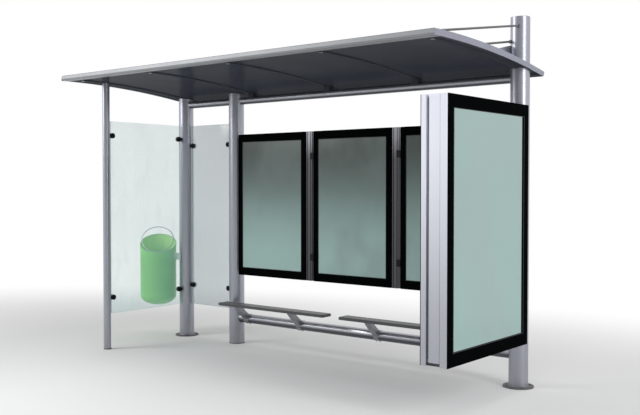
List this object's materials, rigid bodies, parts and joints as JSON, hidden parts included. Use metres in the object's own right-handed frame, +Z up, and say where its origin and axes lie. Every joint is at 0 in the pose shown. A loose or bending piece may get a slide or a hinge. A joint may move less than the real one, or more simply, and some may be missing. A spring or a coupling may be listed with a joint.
{
  "type": "bus shelter",
  "caption": "Open bus shelter with a curved roof on round posts, glass wind screens, framed display cases, a double-sided poster case, a bench and a litter bin.",
  "frame": {"origin": "on the ground, at the centre of the underside of the tall right post's base plate", "axes": "+X runs right along the row of rear posts, +Y to the rear, +Z up; the front of the shelter faces -Y"},
  "size_m": [4.8185, 1.786, 3.15],
  "materials": {
    "post_steel": "silver grey satin paint",
    "roof_aluminium": "satin anodised",
    "roof_rib_metal": "dark satin paint",
    "roof_sheet": "smoked gloss sheet",
    "stay_steel": "satin",
    "screen_glass": "clear toughened",
    "clamp_black": "black satin",
    "case_black": "black gloss",
    "case_pane": "glossy over a pale poster",
    "case_silver": "satin anodised",
    "seat_grey": "textured dark grey",
    "bin_green": "green powder coat"
  },
  "bodies": {
    "root": {"base_plates": "post_steel", "bench_arms": "post_steel", "bench_seats": "seat_grey", "bench_tube": "post_steel", "bin_body": "bin_green", "bin_bracket": "post_steel", "bin_ring": "bin_green", "display_case_1": "case_black", "display_case_2": "case_black", "display_case_3": "case_black", "display_clips": "clamp_black", "display_panes": "case_pane", "display_rails": "post_steel", "display_uprights": "post_steel", "foot_collars": "post_steel", "post_front_left": "post_steel", "post_rear_left": "post_steel", "post_rear_middle": "post_steel", "post_rear_right": "post_steel", "poster_borders": "case_black", "poster_case_body": "case_silver", "poster_case_brackets": "post_steel", "poster_door_inner": "case_silver", "poster_door_outer": "case_silver", "poster_panes": "case_pane", "rear_beam_left": "post_steel", "rear_beam_right": "post_steel", "rear_glass": "screen_glass", "rear_glass_clamps": "clamp_black", "roof_arm": "stay_steel", "roof_fascia_left": "roof_aluminium", "roof_fascia_right": "roof_aluminium", "roof_front_nose": "roof_aluminium", "roof_rear_edge": "roof_aluminium", "roof_ribs": "roof_rib_metal", "roof_sheet_1": "roof_sheet", "roof_sheet_2": "roof_sheet", "roof_sheet_3": "roof_sheet", "roof_sheet_4": "roof_sheet", "roof_soffit": "roof_sheet", "side_glass": "screen_glass", "side_glass_clamps": "clamp_black", "stay_rods": "stay_steel"}
  },
  "joints": []
}
